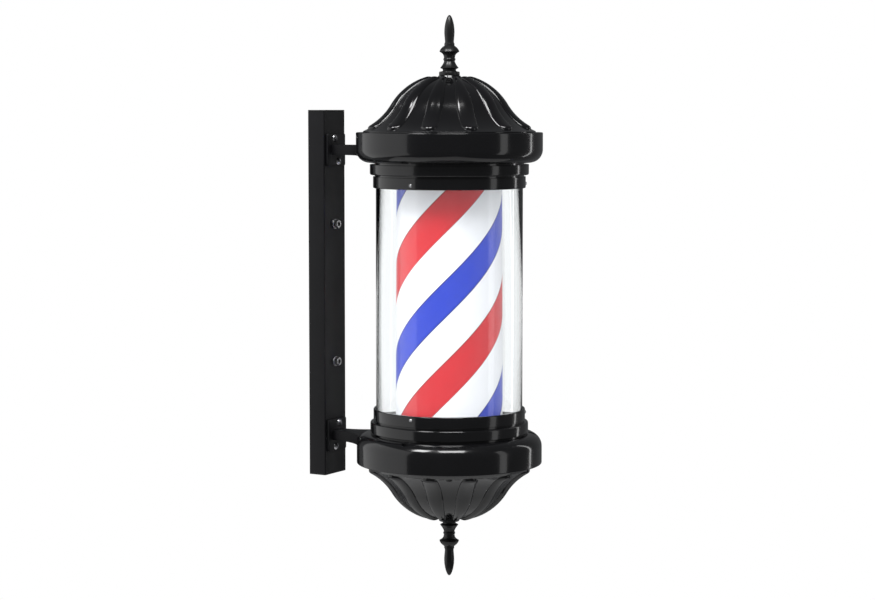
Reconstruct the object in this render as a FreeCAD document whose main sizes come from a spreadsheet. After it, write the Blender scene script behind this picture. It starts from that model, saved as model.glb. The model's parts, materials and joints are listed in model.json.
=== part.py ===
"""Wall-mounted barber pole light: a striped cylinder turning inside a clear tube between two black housings.

World frame: +Z up, the wall is the plane y = 0, the pole stands out from it towards -Y, and the origin is
midway between the two bolt holes in the back of the wall bar.  Pieces of the pole are drawn in a pole
frame whose Z axis is the pole's axis and whose origin is the middle of the glass, always for the upper half;
the lower half uses the same drawings turned half a turn about X.
"""
import FreeCAD, Part
import math
import os
import Sketcher

doc = FreeCAD.newDocument("barber_pole_light")
sheet = doc.addObject("Spreadsheet::Sheet", "Dims")

DIMENSIONS = {
    # wall bar and its bolts
    "bar_width": 50.0, "bar_depth": 25.0, "bar_length": 476.0, "bar_wall": 2.5, "bar_cap": 2.0,
    "bolt_spacing": 180.0, "bolt_hole": 3.3, "nut_bore": 3.0,
    "washer_radius": 6.5, "washer_thick": 1.5, "nut_flats": 10.0, "nut_thick": 5.0,
    # arms
    "pole_reach": 172.0, "arm_level": 180.0, "arm_thick": 13.0, "neck_half": 12.0, "wing_half": 50.0,
    "flange_side": 42.0, "flange_thick": 3.5, "tongue_half": 20.0, "tongue_inner": 76.0,
    "flange_screw_x": 4.3, "flange_screw_z": 15.0,
    # stack of the housing, from the middle of the glass outwards
    "glass_half": 140.0, "ring_height": 14.5, "groove": 2.0, "collar_height": 13.5,
    "drum_height": 38.0, "dome_height": 71.5, "finial_height": 75.5,
    # radii
    "glass_radius": 93.0, "glass_wall": 3.0, "glass_seat": 11.0, "ring_radius": 96.5, "ring_bore": 72.0,
    "collar_radius": 100.5, "spigot_radius": 94.5, "collar_bore": 84.0,
    "drum_radius": 118.0, "drum_shoulder": 16.5, "shell": 3.0, "dome_radius": 109.0,
    "drum_mouth": 104.0, "deck_radius": 112.0, "deck_thick": 3.0,
    # domes: a rim, a hollow arc, a full crown and a flat boss, with raised petals all round
    "dome_rim": 3.0, "dome_lip": 3.0, "dome_boss": 15.0, "crown_radius": 75.0, "crown_x": 8.0,
    "hollow_radius": 80.0, "hollow_x": 140.0, "boss_thick": 7.0, "boss_inner": 13.0,
    "petal_count": 12.0, "petal_angle": 17.5, "petal_rise": 4.5, "petal_toe": 105.0, "petal_top": 18.0,
    # screws round the housing
    "drum_screw_circle": 106.0, "notch_radius": 6.0, "notch_depth": 10.0, "boss_radius": 9.5, "cap_head": 4.25,
    "collar_screw_circle": 90.0, "glass_screw_level": 145.5, "ring_lip": 3.0,
    # turning cylinder
    "film_radius": 67.5, "film_wall": 1.0, "film_half": 160.0, "cap_thick": 3.0,
    "pipe_radius": 5.0, "pipe_bore": 3.5, "running_gap": 0.05, "bush_radius": 9.0,
    "shaft_radius": 3.0, "hub_radius": 8.0, "hub_flange": 15.0,
    # motor and lamp
    "motor_radius": 25.0, "motor_height": 18.0, "gearbox_radius": 19.0, "gearbox_height": 4.0,
    "motor_lift": 7.0, "ear_reach": 31.0, "rod_radius": 4.0,
    "holder_radius": 20.0, "holder_top": 52.0, "bulb_radius": 30.0,
    # cable gland
    "gland_radius": 5.0, "gland_bore": 3.0, "gland_level": 198.5, "gland_angle": 40.0, "gland_flats": 12.0,
}
for row, (alias, size) in enumerate(DIMENSIONS.items(), start=1):
    sheet.set("A%d" % row, alias)
    sheet.set("B%d" % row, str(size))
    sheet.setAlias("B%d" % row, alias)
doc.recompute()

# Levels and offsets worked out from the driving dimensions.
RING_TOP = "(Dims.glass_half + Dims.ring_height)"
COLLAR_LOW = "(Dims.glass_half + Dims.ring_height + Dims.groove)"
COLLAR_HIGH = "(Dims.glass_half + Dims.ring_height + Dims.groove + Dims.collar_height)"
DRUM_LOW = "(Dims.glass_half + Dims.ring_height + 2 * Dims.groove + Dims.collar_height)"
DRUM_HIGH = "(%s + Dims.drum_height)" % DRUM_LOW
DOME_HIGH = "(%s + Dims.dome_height)" % DRUM_HIGH
DECK_LOW = "(Dims.arm_level + Dims.arm_thick)"
DECK_HIGH = "(Dims.arm_level + Dims.arm_thick + Dims.deck_thick)"
POLE_Y = "(-Dims.bar_depth - Dims.pole_reach)"

SCREW_ANGLES = (180.0, 300.0, 60.0)         # three screws round each housing, one on the -X side
COLLAR_SCREW_ANGLES = (0.0, 120.0, 240.0)   # the collar's screws stand between them
HUB_SCREW_ANGLES = (90.0, 210.0, 330.0)
M2_5, M3, M3_5, M4, M5 = 1.25, 1.5, 1.75, 2.0, 2.5      # radii of screw shanks and of the holes they fill
UPRIGHT = FreeCAD.Rotation()
TURNED = FreeCAD.Rotation(FreeCAD.Vector(1, 0, 0), 180)
X_AXIS = FreeCAD.Vector(1, 0, 0)
Y_AXIS = FreeCAD.Vector(0, 1, 0)
Z_AXIS = FreeCAD.Vector(0, 0, 1)

nodes = []


def value(expression):
    """The number, in millimetres, that an expression over the sheet gives."""
    if isinstance(expression, (int, float)):
        return float(expression)
    result = sheet.evalExpression(expression)
    return float(getattr(result, "Value", result))


def bind(target, **expressions):
    """Ties properties of an object to expressions; a double underscore stands for a dot."""
    for name, expression in expressions.items():
        target.setExpression(name.replace("__", "."), str(expression))
    return target


def keep(target, label, half=None):
    """Marks an object as a finished piece; half puts a piece of the pole in the upper or lower housing.

    A piece that has a place of its own goes in a group first, because half sets the place anew.
    """
    target.Label = label
    if half is not None:
        rotation = UPRIGHT if half == "upper" else TURNED
        target.Placement = FreeCAD.Placement(FreeCAD.Vector(0, value(POLE_Y), 0), rotation)
        target.setExpression("Placement.Base.y", POLE_Y)
    nodes.append(target)
    return target


def move(target, x=0, y=0, z=0, axis=Z_AXIS, angle=0.0):
    """Places an object; x, y and z are numbers or expressions."""
    base = FreeCAD.Vector(value(x), value(y), value(z))
    target.Placement = FreeCAD.Placement(base, FreeCAD.Rotation(axis, angle))
    for name, place in (("x", x), ("y", y), ("z", z)):
        if isinstance(place, str):
            target.setExpression("Placement.Base." + name, place)
    return target


def box(length, width, height, **place):
    """A block with its corner at the given place."""
    block = doc.addObject("Part::Box", "Block")
    bind(block, Length=length, Width=width, Height=height)
    return move(block, **place)


def rod(radius, height, **place):
    """A cylinder that starts at the given place and runs along its own Z."""
    cylinder = doc.addObject("Part::Cylinder", "Rod")
    bind(cylinder, Radius=radius, Height=height)
    return move(cylinder, **place)


def hexagon(flats, height, **place):
    """A hexagonal prism, size given across its flats."""
    prism = doc.addObject("Part::Prism", "Hexagon")
    prism.Polygon = 6
    bind(prism, Circumradius="(%s) / sqrt(3)" % flats, Height=height)
    return move(prism, **place)


def fuse(*pieces):
    """The pieces as one solid."""
    joined = doc.addObject("Part::MultiFuse", "Fused")
    joined.Shapes = list(pieces)
    return joined


def cut(base, *tools):
    """The base with every tool taken away."""
    for tool in tools:
        rest = doc.addObject("Part::Cut", "Cut")
        rest.Base = base
        rest.Tool = tool
        base = rest
    return base


def group(pieces):
    """Separate solids that share one node."""
    compound = doc.addObject("Part::Compound", "Group")
    compound.Links = list(pieces)
    return compound


def around(make, angles, **arguments):
    """A list of what make gives at each angle round the pole."""
    return [make(angle=angle, **arguments) for angle in angles]


def arc_centre(start, end, radius):
    """Centre of the arc from start to end; a positive radius turns anticlockwise."""
    middle = (start + end) * 0.5
    chord = end - start
    reach = math.sqrt(max(radius * radius - chord.Length ** 2 / 4.0, 0.0))
    normal = FreeCAD.Vector(-chord.y, chord.x, 0).normalize()
    return middle + normal * (reach if radius > 0 else -reach)


def draw(body, name, role, outline):
    """A closed sketch on one of the body's origin planes.

    Each corner of the outline is (across, up) or (across, up, radius); with a radius the corner is reached
    by an arc, anticlockwise where the radius is positive.
    """
    sketch = body.newObject("Sketcher::SketchObject", name)
    plane = [item for item in body.Origin.OriginFeatures if item.Role == role][0]
    sketch.AttachmentSupport = [(plane, "")]
    sketch.MapMode = "FlatFace"
    points = [FreeCAD.Vector(value(corner[0]), value(corner[1]), 0) for corner in outline]
    ends = []
    for index, corner in enumerate(outline):
        start = points[index - 1]
        end = points[index]
        if len(corner) == 2:
            sketch.addGeometry(Part.LineSegment(start, end), False)
            ends.append((1, 2))
            continue
        radius = value(corner[2])
        centre = arc_centre(start, end, radius)
        first, last = (start, end) if radius > 0 else (end, start)
        first_angle = math.atan2(first.y - centre.y, first.x - centre.x)
        last_angle = math.atan2(last.y - centre.y, last.x - centre.x)
        circle = Part.Circle(centre, Z_AXIS, abs(radius))
        sketch.addGeometry(Part.ArcOfCircle(circle, first_angle, last_angle), False)
        ends.append((1, 2) if radius > 0 else (2, 1))
    for index, corner in enumerate(outline):
        following = (index + 1) % len(outline)
        sketch.addConstraint(Sketcher.Constraint(
            "Coincident", index, ends[index][1], following, ends[following][0]))
    for index, corner in enumerate(outline):
        for kind, size in (("DistanceX", corner[0]), ("DistanceY", corner[1])):
            number = sketch.addConstraint(Sketcher.Constraint(
                kind, -1, 1, index, ends[index][1], value(size)))
            if isinstance(size, str):
                sketch.setExpression("Constraints[%d]" % number, size)
        if len(corner) == 3:
            number = sketch.addConstraint(Sketcher.Constraint("Radius", index, abs(value(corner[2]))))
            if isinstance(corner[2], str):
                sketch.setExpression("Constraints[%d]" % number, "abs(%s)" % corner[2])
    return sketch


def lathe(name, outline):
    """A body turned about the pole's axis; the outline gives (radius, level) corners."""
    body = doc.addObject("PartDesign::Body", name)
    sketch = draw(body, name + "_outline", "XZ_Plane", outline)
    turned = body.newObject("PartDesign::Revolution", name + "_turned")
    turned.Profile = sketch
    turned.ReferenceAxis = (sketch, ["V_Axis"])
    turned.Angle = 360.0
    sketch.Visibility = False
    doc.recompute()
    return body


def polar(radius, angle):
    """Expressions for the x and y of a point at an angle round the pole."""
    cosine = math.cos(math.radians(angle))
    sine = math.sin(math.radians(angle))
    return "(%s) * %.9f" % (radius, cosine), "(%s) * %.9f" % (radius, sine)


def upright_rod(circle, angle, radius, low, height):
    """A rod parallel to the pole, on a circle round it."""
    x, y = polar(circle, angle)
    return rod(radius, height, x=x, y=y, z=low)


def pan_screw(head_radius, head_height, shank_radius, length, **place):
    """A domed screw with a cross recess: the head above its seat, the shank below."""
    dome_sphere = doc.addObject("Part::Sphere", "Dome")
    sphere = "((%s) ^ 2 + (%s) ^ 2) / (2 * (%s))" % (head_radius, head_height, head_height)
    bind(dome_sphere, Radius=sphere)
    move(dome_sphere, z="(%s) - %s" % (head_height, sphere))
    head = doc.addObject("Part::Common", "Head")
    head.Base = dome_sphere
    head.Tool = rod(head_radius, "(%s) * 1.2" % head_height)
    shank = rod(shank_radius, "(%s) + 0.5" % length, z="-(%s)" % length)
    slots = [
        box(slot_x, slot_y, head_height, x="-(%s) / 2" % slot_x, y="-(%s) / 2" % slot_y,
            z="(%s) * 0.5" % head_height)
        for slot_x, slot_y in ((head_radius, "0.9"), ("0.9", head_radius))
    ]
    screw = cut(fuse(head, shank), *slots)
    return move(screw, **place)


# ------------------------------------------------------------------------------------------- wall bar
def bolt_places():
    """Levels of the two wall bolts."""
    return ("Dims.bolt_spacing / 2", "-Dims.bolt_spacing / 2")


def wall_bar():
    """Rectangular tube with through holes for the wall bolts and for the arm screws."""
    tube_length = "Dims.bar_length - 2 * Dims.bar_cap"
    outside = box("Dims.bar_width", "Dims.bar_depth", tube_length,
                  x="-Dims.bar_width / 2", y="-Dims.bar_depth", z="Dims.bar_cap - Dims.bar_length / 2")
    inside = box("Dims.bar_width - 2 * Dims.bar_wall", "Dims.bar_depth - 2 * Dims.bar_wall",
                 "Dims.bar_length", x="Dims.bar_wall - Dims.bar_width / 2",
                 y="Dims.bar_wall - Dims.bar_depth", z="-Dims.bar_length / 2")
    tools = [inside]
    for level in bolt_places():
        tools.append(rod("Dims.bolt_hole", "Dims.bar_depth + 2", y="1", z=level, axis=X_AXIS, angle=90))
    tools += flange_holes(1) + flange_holes(-1)
    keep(cut(outside, *tools), "wall_bar")


def bar_end_cap(label, way):
    """Plug that closes one end of the bar: a plate with a spigot inside the tube."""
    spigot_depth = 8.0
    plate = box("Dims.bar_width", "Dims.bar_depth", "Dims.bar_cap",
                x="-Dims.bar_width / 2", y="-Dims.bar_depth", z="Dims.bar_length / 2 - Dims.bar_cap")
    spigot = box("Dims.bar_width - 2 * Dims.bar_wall", "Dims.bar_depth - 2 * Dims.bar_wall", spigot_depth,
                 x="Dims.bar_wall - Dims.bar_width / 2", y="Dims.bar_wall - Dims.bar_depth",
                 z="Dims.bar_length / 2 - Dims.bar_cap - %s" % spigot_depth)
    piece = fuse(plate, spigot)
    if way < 0:
        piece.Placement = FreeCAD.Placement(FreeCAD.Vector(), FreeCAD.Rotation(Y_AXIS, 180))
    keep(piece, label)


def wall_bolt_nuts():
    """A washer and a nut on the bar's face for each wall bolt; the bolts themselves stand in the wall."""
    washers = []
    nuts = []
    washer_seat = "-Dims.bar_depth"
    nut_seat = "-Dims.bar_depth - Dims.washer_thick"
    for level in bolt_places():
        turned = {"z": level, "axis": X_AXIS, "angle": 90}
        washers.append(cut(rod("Dims.washer_radius", "Dims.washer_thick", y=washer_seat, **turned),
                           rod("Dims.bolt_hole", "Dims.washer_thick", y=washer_seat, **turned)))
        nuts.append(cut(hexagon("Dims.nut_flats", "Dims.nut_thick", y=nut_seat, **turned),
                        rod("Dims.nut_bore", "Dims.nut_thick", y=nut_seat, **turned)))
    keep(group(washers), "wall_bolt_washers")
    keep(group(nuts), "wall_bolt_nuts")


# ------------------------------------------------------------------------------------------- arms
HOLE_DEPTH = 4.0        # how far a flange screw's hole runs each way from the bar's face


def flange_screw_places(way):
    """Centres of the two screws of one arm flange, on a diagonal."""
    middle = "(Dims.arm_level + Dims.arm_thick / 2)"
    places = []
    for side in (1, -1):
        x = "%d * Dims.flange_screw_x" % (-side)
        z = "%d * (%s + %d * Dims.flange_screw_z)" % (way, middle, side)
        places.append((x, z))
    return places


def flange_holes(way):
    """Tools for the holes that one arm's screws take through its flange and the bar's face."""
    start = "%s - Dims.bar_depth" % HOLE_DEPTH
    return [rod(M5, 2 * HOLE_DEPTH, x=x, y=start, z=z, axis=X_AXIS, angle=90)
            for x, z in flange_screw_places(way)]


def drum_outside():
    """The drum's outer form as one solid, for cutting and trimming."""
    return lathe("Drum_outside", (
        (0, DRUM_LOW),
        ("Dims.drum_radius - Dims.drum_shoulder", DRUM_LOW),
        ("Dims.drum_radius", DRUM_LOW + " + Dims.drum_shoulder", "Dims.drum_shoulder"),
        ("Dims.drum_radius", DRUM_HIGH),
        (0, DRUM_HIGH),
    ))


def arm(label, way):
    """Cast arm: a flange on the bar, a neck that spreads into wings against the drum, a tongue inside it.

    The plan is drawn in the world frame, from the bar's face towards -Y.
    """
    body = doc.addObject("PartDesign::Body", "Arm_plan")
    flange_face = "(-Dims.bar_depth - Dims.flange_thick)"
    neck_end = "(%s - 3)" % flange_face
    wing_y = "(%s + sqrt(Dims.drum_radius ^ 2 - Dims.wing_half ^ 2))" % POLE_Y
    deep_y = "(%s + Dims.drum_radius - 2 * Dims.drum_shoulder)" % POLE_Y
    spread = "(Dims.wing_half - Dims.neck_half)"
    run = "(%s - %s)" % (neck_end, wing_y)
    flare = "((%s ^ 2 + %s ^ 2) / (2 * %s))" % (spread, run, spread)
    outline = (
        ("Dims.neck_half", flange_face),
        ("-Dims.neck_half", flange_face),
        ("-Dims.neck_half", neck_end),
        ("-Dims.wing_half", wing_y, "-" + flare),
        ("-Dims.wing_half * 0.8", deep_y),
        ("Dims.wing_half * 0.8", deep_y),
        ("Dims.wing_half", wing_y),
        ("Dims.neck_half", neck_end, "-" + flare),
    )
    sketch = draw(body, "Arm_outline", "XY_Plane", outline)
    pad = body.newObject("PartDesign::Pad", "Arm_pad")
    pad.Profile = sketch
    bind(pad, Length="Dims.arm_thick")
    doc.recompute()
    move(body, z="Dims.arm_level")
    drum = drum_outside()
    move(drum, y=POLE_Y)
    wings = cut(body, drum)
    middle = "(Dims.arm_level + Dims.arm_thick / 2)"
    flange = box("Dims.flange_side", "Dims.flange_thick", "Dims.flange_side",
                 x="-Dims.flange_side / 2", y=flange_face, z="%s - Dims.flange_side / 2" % middle)
    tongue = box("2 * Dims.tongue_half", "Dims.drum_radius + 10 - Dims.tongue_inner", "Dims.arm_thick",
                 x="-Dims.tongue_half", y=POLE_Y + " + Dims.tongue_inner", z="Dims.arm_level")
    tapped = [rod(M5, "Dims.arm_thick", x=x, y=y, z="Dims.arm_level + 2") for x, y in tongue_screw_places()]
    piece = cut(fuse(wings, flange, tongue), *tapped)
    if way < 0:
        piece.Placement = FreeCAD.Placement(FreeCAD.Vector(), FreeCAD.Rotation(Y_AXIS, 180))
    keep(cut(piece, *flange_holes(way)), label)


def tongue_screw_places():
    """World places of the two screws that hold a deck to an arm's tongue."""
    return [("%d * Dims.tongue_half * 0.6" % side, POLE_Y + " + Dims.tongue_inner + 14") for side in (1, -1)]


def arm_screws(label, way):
    """Two pan-head screws through one flange into the bar."""
    screws = [
        pan_screw(5, 3, M5, 13, x=x, y="-Dims.bar_depth - Dims.flange_thick", z=z,
                  axis=X_AXIS, angle=90)
        for x, z in flange_screw_places(way)
    ]
    keep(group(screws), label)


def deck_screws(label, way):
    """Two screws through one deck into the tongue of its arm."""
    screws = [
        pan_screw(4.5, 2.6, M5, 12, x=x, y=y, z="%d * %s" % (way, DECK_HIGH),
                  axis=X_AXIS, angle=0 if way > 0 else 180)
        for x, y in tongue_screw_places()
    ]
    keep(group(screws), label)


# ------------------------------------------------------------------------------------------- housings
def drum_cavity():
    """The hollow inside a drum, open at its mouth and at its floor, with the screw bosses left standing."""
    wall = "(Dims.drum_radius - Dims.shell)"
    floor = DRUM_LOW + " + Dims.shell"
    mouth = DRUM_HIGH + " - Dims.shell"
    hollow = lathe("Drum_hollow", (
        (0, DRUM_LOW + " - 1"),
        ("Dims.collar_bore + 1", DRUM_LOW + " - 1"),
        ("Dims.collar_bore + 1", floor),
        ("Dims.drum_radius - Dims.drum_shoulder", floor),
        (wall, DRUM_LOW + " + Dims.drum_shoulder", "Dims.drum_shoulder - Dims.shell"),
        (wall, mouth),
        ("Dims.drum_mouth", mouth),
        ("Dims.drum_mouth", DRUM_HIGH + " + 1"),
        (0, DRUM_HIGH + " + 1"),
    ))
    bosses = around(upright_rod, SCREW_ANGLES, circle="Dims.drum_screw_circle", radius="Dims.boss_radius",
                    low=DRUM_LOW, height="%s - %s" % (DECK_LOW, DRUM_LOW))
    return cut(hollow, *bosses)


def drum(label, half):
    """Drum shell with a rounded shoulder, three screw bosses in it and a slot for the arm's tongue."""
    seat = "(%s + Dims.notch_depth)" % DRUM_LOW
    notches = around(upright_rod, SCREW_ANGLES, circle="Dims.drum_screw_circle",
                     radius="Dims.notch_radius", low=DRUM_LOW + " - 1", height="Dims.notch_depth + 1")
    bores = around(upright_rod, SCREW_ANGLES, circle="Dims.drum_screw_circle",
                   radius=M5, low=seat + " - 1", height="%s - %s + 2" % (DECK_LOW, seat))
    slot_y = "Dims.tongue_inner" if half == "upper" else "-Dims.drum_radius - 5"
    slot = box("2 * Dims.tongue_half", "Dims.drum_radius + 5 - Dims.tongue_inner", "Dims.arm_thick",
               x="-Dims.tongue_half", y=slot_y, z="Dims.arm_level")
    collar_holes = around(upright_rod, COLLAR_SCREW_ANGLES, circle="Dims.collar_screw_circle",
                          radius=M4, low=DRUM_LOW + " - 1", height="Dims.shell + 2")
    tools = notches + bores + [slot] + collar_holes
    if half == "lower":
        tools.append(gland_tool("Dims.gland_radius", "Dims.drum_radius - 8", 16))
    keep(cut(drum_outside(), drum_cavity(), *tools), label, half)


def drum_screws(label, half):
    """Three socket cap screws in the shoulder notches, threaded into the deck."""
    seat = "(%s + Dims.notch_depth)" % DRUM_LOW
    screws = []
    for angle in SCREW_ANGLES:
        x, y = polar("Dims.drum_screw_circle", angle)
        head = rod("Dims.cap_head", 5, x=x, y=y, z=seat + " - 5")
        shank = rod(M5, "%s - %s" % (DECK_HIGH, seat), x=x, y=y, z=seat)
        socket = hexagon(4, 2.5, x=x, y=y, z=seat + " - 5")
        screws.append(cut(fuse(head, shank), socket))
    keep(group(screws), label, half)


def deck(label, half):
    """Steel plate across the drum that carries the pipe or the motor, and takes the arm's tongue."""
    arm_way = 1 if half == "upper" else -1
    plate = rod("Dims.deck_radius", "Dims.deck_thick", z=DECK_LOW)
    centre = "Dims.pipe_radius" if half == "upper" else "Dims.rod_radius"
    tools = [rod(centre, "Dims.deck_thick + 2", z=DECK_LOW + " - 1")]
    tools += around(upright_rod, SCREW_ANGLES, circle="Dims.drum_screw_circle", radius=M5,
                    low=DECK_LOW + " - 1", height="Dims.deck_thick + 2")
    for side in (1, -1):
        tools.append(rod(M5, "Dims.deck_thick + 2", x="%d * Dims.tongue_half * 0.6" % side,
                         y="%d * (Dims.tongue_inner + 14)" % arm_way, z=DECK_LOW + " - 1"))
        if half == "lower":
            tools.append(rod(M3_5, "Dims.deck_thick + 2", x="%d * Dims.ear_reach" % side,
                             z=DECK_LOW + " - 1"))
    wire_hole = 8.0
    tools.append(rod(wire_hole, "Dims.deck_thick + 2", y="%d * 50" % arm_way, z=DECK_LOW + " - 1"))
    keep(cut(plate, *tools), label, half)


def collar(label, half):
    """Middle ring of the stack, with a spigot on each side that leaves the shadow grooves."""
    corner = 2.5
    body = lathe("Collar", (
        ("Dims.collar_bore", RING_TOP),
        ("Dims.spigot_radius", RING_TOP),
        ("Dims.spigot_radius", COLLAR_LOW),
        ("Dims.collar_radius - %s" % corner, COLLAR_LOW),
        ("Dims.collar_radius", COLLAR_LOW + " + %s" % corner, corner),
        ("Dims.collar_radius", COLLAR_HIGH),
        ("Dims.spigot_radius", COLLAR_HIGH),
        ("Dims.spigot_radius", DRUM_LOW),
        ("Dims.collar_bore", DRUM_LOW),
    ))
    holes = around(upright_rod, COLLAR_SCREW_ANGLES, circle="Dims.collar_screw_circle", radius=M4,
                   low=DRUM_LOW + " - 9", height=10)
    keep(cut(body, *holes), label, half)


def collar_screws(label, half):
    """Three screws through the drum's floor into the collar."""
    screws = []
    for angle in COLLAR_SCREW_ANGLES:
        x, y = polar("Dims.collar_screw_circle", angle)
        screws.append(pan_screw(3.5, 2.2, M4, 11, x=x, y=y, z=DRUM_LOW + " + Dims.shell"))
    keep(group(screws), label, half)


def glass_ring(label, half):
    """Ring with a groove for the end of the glass and a floor that closes the gap to the turning cylinder."""
    corner = 2.5
    bore = "(Dims.glass_radius + 0.2)"
    inside = "(Dims.glass_radius - Dims.glass_wall - 0.2)"
    seat = "(Dims.glass_half + Dims.glass_seat + 1)"
    lip = "(Dims.glass_half + Dims.ring_lip)"
    body = lathe("Glass_ring", (
        (bore, "Dims.glass_half"),
        ("Dims.ring_radius - %s" % corner, "Dims.glass_half"),
        ("Dims.ring_radius", "Dims.glass_half + %s" % corner, corner),
        ("Dims.ring_radius", RING_TOP),
        ("Dims.ring_bore", RING_TOP),
        ("Dims.ring_bore", lip),
        (inside, lip),
        (inside, seat),
        (bore, seat),
    ))
    holes = []
    for angle in SCREW_ANGLES:
        x, y = polar("Dims.glass_radius", angle)
        hole = rod(M3, 8, x=x, y=y, z="Dims.glass_screw_level")
        hole.Placement.Rotation = radial(angle)
        holes.append(hole)
    keep(cut(body, *holes), label, half)


def radial(angle):
    """Rotation that turns +Z to point away from the pole at an angle."""
    outward = FreeCAD.Vector(math.cos(math.radians(angle)), math.sin(math.radians(angle)), 0)
    return FreeCAD.Rotation(Z_AXIS, outward)


def glass_screws(label, half):
    """Three small screws through the ring that bear on the glass."""
    screws = []
    for angle in SCREW_ANGLES:
        x, y = polar("Dims.ring_radius", angle)
        screw = pan_screw(2.4, 1.5, M3, "Dims.ring_radius - Dims.glass_radius",
                          x=x, y=y, z="Dims.glass_screw_level")
        screw.Placement.Rotation = radial(angle)
        screws.append(screw)
    keep(group(screws), label, half)


def gasket(label, half):
    """Flat rubber ring between the end of the glass and the bottom of its groove."""
    body = lathe("Gasket", (
        ("Dims.glass_radius - Dims.glass_wall", "Dims.glass_half + Dims.glass_seat"),
        ("Dims.glass_radius", "Dims.glass_half + Dims.glass_seat"),
        ("Dims.glass_radius", "Dims.glass_half + Dims.glass_seat + 1"),
        ("Dims.glass_radius - Dims.glass_wall", "Dims.glass_half + Dims.glass_seat + 1"),
    ))
    keep(body, label, half)


def outer_glass():
    """Clear tube between the two housings."""
    end = "(Dims.glass_half + Dims.glass_seat)"
    inside = "(Dims.glass_radius - Dims.glass_wall)"
    body = lathe("Outer_glass", (
        (inside, "-" + end), ("Dims.glass_radius", "-" + end),
        ("Dims.glass_radius", end), (inside, end),
    ))
    keep(body, "outer_glass", "upper")


# Each dome is an ogee: a hollow arc above the rim runs smoothly into the full arc of the crown.
CROWN_LEVEL = "(%s - sqrt(Dims.crown_radius ^ 2 - (Dims.dome_boss - Dims.crown_x) ^ 2))" % DOME_HIGH
CENTRES = "(Dims.crown_radius + Dims.hollow_radius)"
HOLLOW_LEVEL = "(%s + sqrt(%s ^ 2 - (Dims.hollow_x - Dims.crown_x) ^ 2))" % (CROWN_LEVEL, CENTRES)


def on_crown(radius, lift):
    """Point of the crown, raised by lift, at a radius."""
    return radius, "(%s + sqrt((Dims.crown_radius + %s) ^ 2 - (%s - Dims.crown_x) ^ 2))" % (
        CROWN_LEVEL, lift, radius)


def on_hollow(radius, lift):
    """Point of the hollow, raised by lift, at a radius."""
    return radius, "(%s - sqrt((Dims.hollow_radius - %s) ^ 2 - (Dims.hollow_x - %s) ^ 2))" % (
        HOLLOW_LEVEL, lift, radius)


def on_waist(lift):
    """Point where hollow and crown meet, raised by lift: it lies on the line between their centres."""
    share = "((Dims.crown_radius + %s) / %s)" % (lift, CENTRES)
    return ("(Dims.crown_x + %s * (Dims.hollow_x - Dims.crown_x))" % share,
            "(%s + %s * (%s - %s))" % (CROWN_LEVEL, share, HOLLOW_LEVEL, CROWN_LEVEL))


def ogee(start, end, lift):
    """Corners of the ogee from a radius on the hollow to a radius on the crown, raised by lift."""
    return (
        on_hollow(start, lift),
        on_waist(lift) + ("-(Dims.hollow_radius - %s)" % lift,),
        on_crown(end, lift) + ("Dims.crown_radius + %s" % lift,),
    )


def ogee_back(start, end, lift):
    """The same curve drawn from the crown back down to the hollow."""
    return (
        on_crown(end, lift),
        on_waist(lift) + ("-(Dims.crown_radius + %s)" % lift,),
        on_hollow(start, lift) + ("Dims.hollow_radius - %s" % lift,),
    )


def dome(label, half):
    """Fluted cap: an ogee shell with raised petals, a rim that rests on the drum and a boss for the finial."""
    body = doc.addObject("PartDesign::Body", "Dome")
    centre = "Dims.pipe_radius" if half == "upper" else "Dims.rod_radius"
    spigot = "(Dims.drum_mouth - Dims.shell)"
    spigot_low = DRUM_HIGH + " - 4"
    outline = (
        ("Dims.drum_mouth", DRUM_HIGH),
        ("Dims.dome_radius", DRUM_HIGH),
        ("Dims.dome_radius", DRUM_HIGH + " + Dims.dome_rim"),
    ) + ogee("(Dims.dome_radius - Dims.dome_lip)", "Dims.dome_boss", "0") + (
        (centre, DOME_HIGH),
        (centre, DOME_HIGH + " - Dims.boss_thick"),
        ("Dims.boss_inner", DOME_HIGH + " - Dims.boss_thick"),
    ) + ogee_back(spigot, "Dims.boss_inner", "(-Dims.shell)") + (
        (spigot, spigot_low),
        ("Dims.drum_mouth", spigot_low),
    )
    sketch = draw(body, "Dome_outline", "XZ_Plane", outline)
    shell = body.newObject("PartDesign::Revolution", "Dome_shell")
    shell.Profile = sketch
    shell.ReferenceAxis = (sketch, ["V_Axis"])
    shell.Angle = 360.0
    doc.recompute()
    raised = ogee("Dims.petal_toe", "Dims.petal_top", "Dims.petal_rise")
    sunk = ogee_back("Dims.petal_toe", "Dims.petal_top", "(-Dims.shell / 2)")
    petal_sketch = draw(body, "Petal_outline", "XZ_Plane", raised + sunk)
    petal = body.newObject("PartDesign::Revolution", "Petal")
    petal.Profile = petal_sketch
    petal.ReferenceAxis = (petal_sketch, ["V_Axis"])
    petal.Midplane = True
    bind(petal, Angle="Dims.petal_angle")
    doc.recompute()
    pattern = body.newObject("PartDesign::PolarPattern", "Petals")
    pattern.Originals = [petal]
    pattern.Axis = (petal_sketch, ["V_Axis"])
    pattern.Angle = 360.0
    bind(pattern, Occurrences="Dims.petal_count")
    body.Tip = pattern
    doc.recompute()
    petal_turn = "(180 / Dims.petal_count)"
    keep(group([body]), label, half)
    body.Placement = FreeCAD.Placement(FreeCAD.Vector(), FreeCAD.Rotation(Z_AXIS, value(petal_turn)))


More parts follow.
